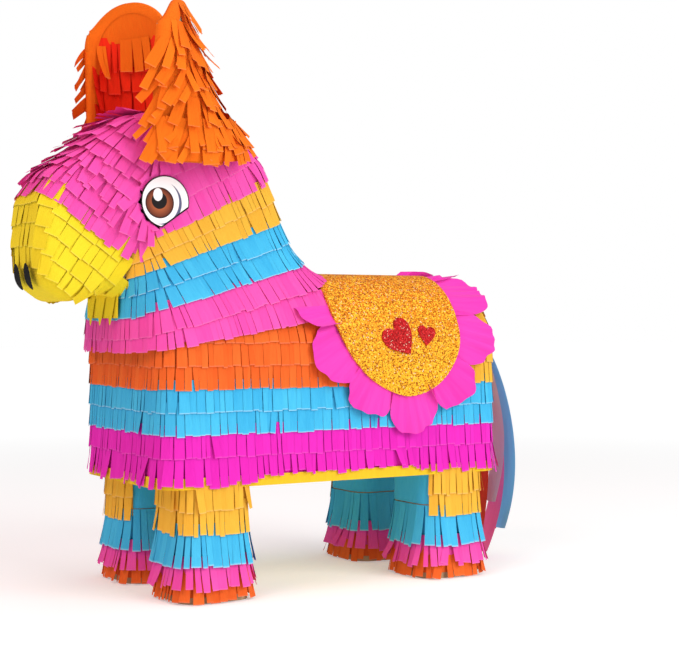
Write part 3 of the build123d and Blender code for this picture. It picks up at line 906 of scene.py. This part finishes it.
# ---------------------------------------------------------------- saddle
# A cape of stiff glitter foam with a thin bare edge, two glitter hearts on each side, and under it
# a ruffle of overlapping pink paper petals, gathered at the edge and waved at their rims.
def glitter(name, dark, light, scale=1350.0):
    """Glitter: small cells, each a flake with its own tilt and tone, some of them bright with painted
    glints.

    The tone is painted shading: dark at the ridge, and lighter down the sides to the lower edge.
    """
    flakes = Finish(name, Specular_IOR_Level=0.12)
    place = flakes.node("ShaderNodeTexCoord", output=3)
    cell = flakes.node("ShaderNodeTexVoronoi", None, {"Vector": place, "Scale": scale}, 1)
    split = "ShaderNodeSeparateColor"
    tone, shine, lean = (flakes.node(split, None, {0: cell}, part) for part in range(3))
    # Painted shading by height: light low on the sides, dark over the ridge.
    fall = flakes.node("ShaderNodeSeparateXYZ", None, {0: place}, 2).over(0.175, 0.09)
    base = flakes.mix(fall, rgb(*light), rgb(*dark))
    # Painted glints: the bright flakes are lighter than the glitter's light tone.
    bright = tuple(min(1.0, 1.25 * part + 0.02) for part in light)
    speck = flakes.mix(tone.over(0.35, 0.30), rgb(*(0.42 * part for part in dark)), base)
    speck = flakes.mix(shine.over(0.72, 0.10), speck, rgb(*bright))
    # Painted glints: a few flakes turn a warm near-white.
    painted_glint = lean.over(0.975, 0.01) * 0.6
    flakes.feed(Base_Color=flakes.mix(painted_glint, speck, rgb(0.95, 0.80, 0.60)))
    flakes.feed(Roughness=0.40 + lean * 0.40)
    flakes.bump(tone, 0.55, 0.0006)
    return flakes.material


gold = glitter("gold_glitter", (0.72, 0.17, 0.006), (0.86, 0.44, 0.014))
ruby = glitter("ruby_glitter", (0.42, 0.003, 0.005), (0.50, 0.006, 0.008), 1500.0)
dress("saddle", gold)
for size in ("large", "small"):
    for side in ("left", "right"):
        dress(f"heart_{size}_{side}", ruby)

FLAT = HALF_WIDTH - ARCH  # the flat of the back, each side of the ridge


def unrolled(y, girth, lift):
    """Places off the arched body by a lift, from Y and the distance round it from the ridge."""
    bend = np.clip((np.abs(girth) - FLAT) / ARCH, 0, pi / 2)
    fall = np.maximum(np.abs(girth) - FLAT - ARCH * pi / 2, 0)
    x = np.minimum(np.abs(girth), FLAT) + (ARCH + lift) * np.sin(bend)
    z = BACK - ARCH + (ARCH + lift) * np.cos(bend) - fall
    return np.stack([np.sign(girth) * x, MIDDLE + y, z], -1)


# where petals meet at the saddle's edge, (y from the body's middle, distance round from the ridge)
PETAL_STOPS = [(-0.008, -0.012), (-0.008, 0.034), (-0.0055, 0.079), (0.013, 0.108), (0.040, 0.124)]
PETAL_STOPS += [(0.069, 0.122), (0.089, 0.101), (0.095, 0.072), (0.097, 0.038), (0.097, -0.006)]
PETAL_REACH = [0.025, 0.027, 0.025, 0.023, 0.028, 0.026, 0.029, 0.029, 0.026]
TUCK = 0.009  # how far a petal runs in under the saddle
SADDLE_HEART = np.array([0.040, 0.045])  # a place that every petal points away from


def petal(index, side, rng):
    """One petal, u across and v out: reach = R (1 - |2u - 1|^3.2)^0.5, creased along v and waved."""
    u, v = np.meshgrid(np.linspace(0, 1, 31), np.linspace(0, 1, 15))
    a, b = np.array(PETAL_STOPS[index]), np.array(PETAL_STOPS[index + 1])
    before = np.array(PETAL_STOPS[max(index - 1, 0)])
    after = np.array(PETAL_STOPS[min(index + 2, len(PETAL_STOPS) - 1)])
    chord = b - a
    width = length_of(chord)
    out_a, out_b = (np.array([(q - p)[1], -(q - p)[0]]) for p, q in ((before, b), (a, after)))
    out_a, out_b = (w / np.hypot(*w) * np.sign(w @ (a - SADDLE_HEART)) for w in (out_a, out_b))
    w = (u - 0.5) * 1.10 + 0.5
    foot = a + chord * w[..., None]
    out = out_a * (1 - w[..., None]) + out_b * w[..., None]
    out = out / np.hypot(out[..., 0], out[..., 1])[..., None]
    bulge = 0.10 * width * (1 - (2 * w - 1) ** 2)
    ragged = 1 + 0.07 * np.sin(u * 9 + rng.random() * 6) + 0.03 * np.sin(u * 25 + rng.random() * 6)
    round_end = np.maximum(1 - np.abs(2 * u - 1) ** 3.2, 0) ** 0.5
    reach = 0.004 + (PETAL_REACH[index] - 0.002) * round_end * ragged
    flat = foot + out * (bulge - TUCK + v * (reach + TUCK))[..., None]
    crease = u * (26 + 6 * rng.random()) + 2.2 * np.sin(u * 7 + rng.random() * 6)
    crease = np.sin(crease + rng.random() * 6)
    wave = np.sin(u * 2 * pi * (0.8 + 0.6 * rng.random()) + rng.random() * 6)
    rise = v**1.5 * (0.0030 + 0.0022 * wave + 0.0008 * crease) + 0.0003 * crease * v
    lift = 0.0033 + 0.0004 * (index % 2) + 0.0008 * u * v + rise
    points = unrolled(flat[..., 0], side * flat[..., 1], lift)[None]
    uv = np.stack([u * width, v * 0.03], -1)[None]
    if side < 0:
        points, uv = points[:, :, ::-1], uv[:, :, ::-1]
    return {"points": points, "uv": uv, "tint": rng.random(1), "along": np.linspace(0, 0.9, 15)}


def petal_paper():
    """Pink paper, smooth, with long soft creases that run out from the gathered edge."""
    paper = Finish("petal_pink", Specular_IOR_Level=0.2, Sheen_Weight=0.1)
    cut = paper.node("ShaderNodeUVMap", {"uv_map": "cut"})
    tint = paper.node("ShaderNodeAttribute", {"attribute_name": "tint"}, output=2)
    along = paper.node("ShaderNodeAttribute", {"attribute_name": "along"}, output=2)
    crease = paper.noise(paper.stretch(cut, (520.0, 30.0, 1.0)), 1.0, 2.0)
    shade = tint * 0.25 + crease * 0.65 + along * 0.10
    paper.feed(Base_Color=paper.mix(shade, rgb(0.84, 0.065, 0.50), rgb(0.70, 0.022, 0.38)))
    paper.feed(Roughness=0.7 + crease * 0.2)
    paper.bump(crease, 0.6, 0.0009)
    return paper.material


petals = [petal(i, side, rng) for side in (1, -1) for i in range(len(PETAL_STOPS) - 1)]
put_on("saddle_petals", petals, petal_paper(), "donkey", "pink_crepe", "saddle_ruffle")

# ---------------------------------------------------------------- eyes and nostrils
# Printed stickers: a white eye with a brown iris, a black pupil, one highlight and a black outline,
# cut off below at the back; the nostrils are slanted black ovals on the front of the muzzle.
BLACK_INK = rgb(0.006, 0.005, 0.005)
EDGE = 0.0003  # softness of a printed edge


def eye_print():
    """The printed eye, drawn from distances to its circles on the side of the head."""
    ink = Finish("eye_print", Roughness=0.6, Specular_IOR_Level=0.15)
    place = ink.node("ShaderNodeTexCoord", output=3)
    y = ink.node("ShaderNodeSeparateXYZ", None, {0: place}, 1) - EYE[0]
    z = ink.node("ShaderNodeSeparateXYZ", None, {0: place}, 2) - EYE[1]

    def ring(cy, cz, wide=1.0, tall=1.0):
        a, b = (y - cy) * (1 / wide), (z - cz) * (1 / tall)
        return (a * a + b * b) ** 0.5

    def within(distance, radius):
        return 1.0 - distance.over(radius, EDGE)

    iris = ring(-0.0042, -0.0010)
    brown = ink.mix(iris.over(0.0072, 0.0055), rgb(0.38, 0.10, 0.035), rgb(0.09, 0.018, 0.010))
    colour = ink.mix(within(ring(0.0, 0.0), 0.0168), BLACK_INK, rgb(0.93, 0.92, 0.92))
    shadow = within(ring(-0.0025, -0.0010), 0.0145) * ring(-0.0050, 0.0).over(0.0150, EDGE)
    colour = ink.mix(shadow, colour, rgb(0.10, 0.11, 0.20))
    colour = ink.mix(within(iris, 0.0104), colour, rgb(0.012, 0.006, 0.005))
    colour = ink.mix(within(iris, 0.0097), colour, brown)
    colour = ink.mix(within(ring(-0.0045, 0.0005), 0.0056), colour, rgb(0.008, 0.006, 0.006))
    highlight = within(ring(-0.0055, 0.0045, 0.85, 1.1), 0.0039)
    colour = ink.mix(highlight, colour, rgb(0.95, 0.95, 0.95))
    cut = y * -0.574 + z * 0.819
    colour = ink.mix(1.0 - cut.over(-0.0119, EDGE), colour, BLACK_INK)
    ink.feed(Base_Color=colour)
    return ink.material


eye_ink = eye_print()
black_vinyl = Finish("black_vinyl", Roughness=0.7, Specular_IOR_Level=0.1)
black_vinyl.feed(Base_Color=rgb(0.004, 0.004, 0.005))
for side in ("left", "right"):
    dress(f"eye_{side}", eye_ink)


def nostril(side):
    """One oval laid on the front of the muzzle, at polar places (r, a), and tilted."""
    r, a = np.meshgrid(np.linspace(0, 1, 8), np.linspace(0, 2 * pi, 41))
    u, v = 0.0058 * r * np.cos(a), 0.0090 * r * np.sin(a)
    tilt = radians(12)
    x = 0.0015 + 0.0100 * side + u * cos(tilt) - v * sin(tilt)
    z = 0.2175 + u * sin(tilt) + v * cos(tilt)
    start = np.stack([x, np.full(x.shape, MIDDLE - 0.185), z], -1)
    points = cast(head_card, start, np.broadcast_to([0.0, -1.0, 0.0], start.shape), 0.0048)
    return plain_sheet(points[None], np.stack([u, v], -1)[None])


nostrils = [nostril(1), nostril(-1)]
stickers = ("nostril_left", "nostril_right")
put_on("nostril_ovals", nostrils, black_vinyl.material, "donkey", "black_sticker", *stickers)

# ---------------------------------------------------------------- tail
# Six paper ribbons on one tie, bowed out behind the rump; a wide sky-blue one lies outermost.
def ribbon_paper(name, pale, deep):
    paper = Finish(name, Specular_IOR_Level=0.25, Sheen_Weight=0.1)
    cut = paper.node("ShaderNodeUVMap", {"uv_map": "cut"})
    crease = paper.noise(paper.stretch(cut, (420.0, 14.0, 1.0)), 1.0, 2.0)
    soft = paper.noise(paper.stretch(cut, (40.0, 16.0, 1.0)), 1.0, 1.0)
    paper.feed(Base_Color=paper.mix(crease * 0.5 + soft * 0.5, rgb(*pale), rgb(*deep)))
    paper.feed(Roughness=0.55 + crease * 0.3)
    paper.bump(crease, 0.5, 0.0008)
    return paper.material


# x, root height, bow behind the rump, end height, how far the end tucks back in, pale and deep colours
TAIL = {
    "orange": (0.003, 0.1925, 0.054, 0.022, 0.012, (0.92, 0.16, 0.03), (0.78, 0.09, 0.02)),
    "blue": (0.017, 0.1895, 0.051, 0.024, 0.012, (0.24, 0.76, 0.98), (0.14, 0.64, 0.94)),
    "pink": (0.014, 0.1865, 0.043, 0.006, 0.018, (0.93, 0.22, 0.52), (0.82, 0.12, 0.40)),
    "white": (0.023, 0.1835, 0.034, 0.046, 0.005, (0.74, 0.66, 0.88), (0.58, 0.50, 0.78)),
    "red": (0.018, 0.1805, 0.024, 0.012, 0.008, (0.88, 0.06, 0.02), (0.68, 0.03, 0.01)),
    "yellow": (0.025, 0.1775, 0.016, 0.100, 0.002, (0.93, 0.72, 0.08), (0.80, 0.55, 0.04)),
}


def ribbon(colour, rng):
    """A ribbon of two parabolas, from its root out to its bow and back in to its end, 15 mm wide."""
    x, root, reach, low, tuck, _, _ = TAIL[colour]
    t = np.linspace(0, 1, 41)
    bow = 0.64  # place of the bow, down from the root
    y_root, y_bow, y_end = HALF_LENGTH + 0.0088, HALF_LENGTH + reach, HALF_LENGTH + reach - tuck
    shape = (t / bow) * (2 - t / bow)
    below = y_bow + (y_end - y_bow) * ((t - bow) / (1 - bow)) ** 2
    y = np.where(t < bow, y_root + (y_bow - y_root) * shape, below)
    z = root + (low - root) * t
    sway = 0.0015 * np.sin(t * (5 + 3 * rng.random()) + rng.random() * 6) * t
    across = np.linspace(-0.5, 0.5, 7)
    width = 0.009 + 0.006 * np.clip(t * 5, 0, 1)
    twist = 0.22 * np.sin(t * (3 + 3 * rng.random()) + rng.random() * 6) * t
    px = x + sway[:, None] + across * width[:, None] * np.cos(twist)[:, None]
    curl = 0.0010 * np.cos(across * pi) * np.sin(t * 7 + rng.random() * 6)[:, None] * t[:, None]
    py = MIDDLE + y[:, None] + across * width[:, None] * np.sin(twist)[:, None] + curl
    pz = z[:, None] + 0.0020 * (across**2)[None] * t[:, None]
    points = np.stack([px, py, pz], -1)[None]
    places = np.broadcast_arrays(across * 0.015 + rng.random(), (t * (root - low))[:, None])
    return plain_sheet(points, np.stack(places, -1)[None])


for colour, (*_, pale, deep) in TAIL.items():
    finish = ribbon_paper(f"ribbon_{colour}", pale, deep)
    sheets = [ribbon(colour, rng)]
    put_on(f"ribbon_{colour}", sheets, finish, "tail", f"{colour}_crepe", f"tail_{colour}")

# ---------------------------------------------------------------- belly and tie
# Plain yellow crepe over the belly card, a patch of its own on the filling flap, and a mustard
# wrap of the same paper round the tail's tie.
def plain_paper(name, pale, deep):
    """Uncut crepe: fine crinkles along Y and soft folds, from object places."""
    paper = Finish(name, Specular_IOR_Level=0.12)
    place = paper.node("ShaderNodeTexCoord", output=3)
    crinkle = paper.noise(paper.stretch(place, (160.0, 1400.0, 160.0)), 1.0, 2.0)
    fold = paper.noise(paper.stretch(place, (60.0, 260.0, 60.0)), 1.0, 1.0)
    paper.feed(Base_Color=paper.mix(crinkle * 0.5 + fold * 0.5, rgb(*pale), rgb(*deep)))
    paper.feed(Roughness=0.85 + crinkle * 0.1)
    paper.bump(crinkle * 0.5 + fold * 0.5, 0.6, 0.0008)
    return paper.material


dress("tail_tie", plain_paper("tie_crepe", (0.84, 0.50, 0.055), (0.74, 0.36, 0.030)))
belly_crepe = plain_paper("belly_crepe", (0.84, 0.60, 0.030), (0.74, 0.46, 0.018))
for node in ("belly_wrap_yellow", "flap_paper_yellow"):
    dress(node, belly_crepe)

# ---------------------------------------------------------------- studio
# A white floor that fades into a white backdrop. A key light stands on the tail side, with a
# weaker one overhead and a warm fill from ahead.
FLOOR_HALF = 8.0
AIM = Vector((0, 0, 0.2))
LAMPS = {  # place, size, watts and tint
    "key": ((1.6, 0.6, 0.9), 1.3, 24.0, (1, 1, 1)),
    "top": ((0.1, 0.2, 1.9), 1.4, 10.0, (1, 1, 1)),
    "fill": ((0.5, -1.3, 1.3), 1.1, 14.0, (1.0, 0.62, 0.60)),
}


def floor_finish():
    """White near the object, and from 0.3 m to 1.4 m out it gives way to a plain glow."""
    white = Finish("floor_white", Roughness=0.9, Specular_IOR_Level=0.05, Emission_Strength=1.0)
    place = white.node("ShaderNodeTexCoord", output=3)
    away = white.node("ShaderNodeVectorMath", {"operation": "LENGTH"}, {0: place}, 1).over(0.85, 1.1)
    white.feed(Base_Color=white.mix(away, rgb(0.80, 0.80, 0.80), rgb(0.0, 0.0, 0.0)))
    white.feed(Emission_Color=white.mix(away, rgb(0.34, 0.34, 0.34), rgb(1.0, 1.0, 1.0)))
    return white.material


def backdrop():
    """A dim surround that lights the object, seen as plain white."""
    world = bpy.data.worlds.new("studio")
    world.use_nodes = True
    tree = world.node_tree
    ambient, seen_white = tree.nodes["Background"], tree.nodes.new("ShaderNodeBackground")
    ambient.inputs[0].default_value = rgb(1.0, 0.99, 0.98)
    ambient.inputs[1].default_value = 0.30
    seen_white.inputs[0].default_value = rgb(1.0, 1.0, 1.0)
    seen = tree.nodes.new("ShaderNodeLightPath")
    both = tree.nodes.new("ShaderNodeMixShader")
    feeds = (seen.outputs["Is Camera Ray"], ambient.outputs[0], seen_white.outputs[0])
    for source, socket in zip(feeds, both.inputs):
        tree.links.new(source, socket)
    tree.links.new(both.outputs[0], tree.nodes["World Output"].inputs[0])
    return world


scene = bpy.context.scene
scene.view_settings.view_transform = "Standard"
scene.world = backdrop()
corners = [(x * FLOOR_HALF, y * FLOOR_HALF, 0) for x, y in ((-1, -1), (1, -1), (1, 1), (-1, 1))]
floor_mesh = bpy.data.meshes.new("floor")
floor_mesh.from_pydata(corners, [], [(0, 1, 2, 3)])
floor_mesh.materials.append(floor_finish())
floor = bpy.data.objects.new("floor", floor_mesh)
scene.collection.objects.link(floor)
for name, (place, size, watts, tint) in LAMPS.items():
    lamp = bpy.data.lights.new(name, "AREA")
    lamp.size = size
    lamp.energy = watts
    lamp.color = tint
    light = bpy.data.objects.new(name, lamp)
    light.location = place
    light.rotation_euler = (AIM - Vector(place)).to_track_quat("-Z", "Y").to_euler()
    scene.collection.objects.link(light)

CAMERA_PLACE = (0.9664, MIDDLE - 0.541, 0.1893)
CAMERA_TURN = 59.0  # degrees round from looking along +Y
CAMERA_DIP = 0.58  # degrees down
SENSOR = 36.0
FOCAL = 1495 / 679  # focal length in frame widths
lens = bpy.data.cameras.new("camera")
lens.sensor_width = SENSOR
lens.lens = SENSOR * FOCAL
lens.clip_start = 0.05
eye = bpy.data.objects.new("camera", lens)
eye.location = CAMERA_PLACE
eye.rotation_euler = (radians(90 - CAMERA_DIP), 0, radians(CAMERA_TURN))
scene.collection.objects.link(eye)
scene.camera = eye
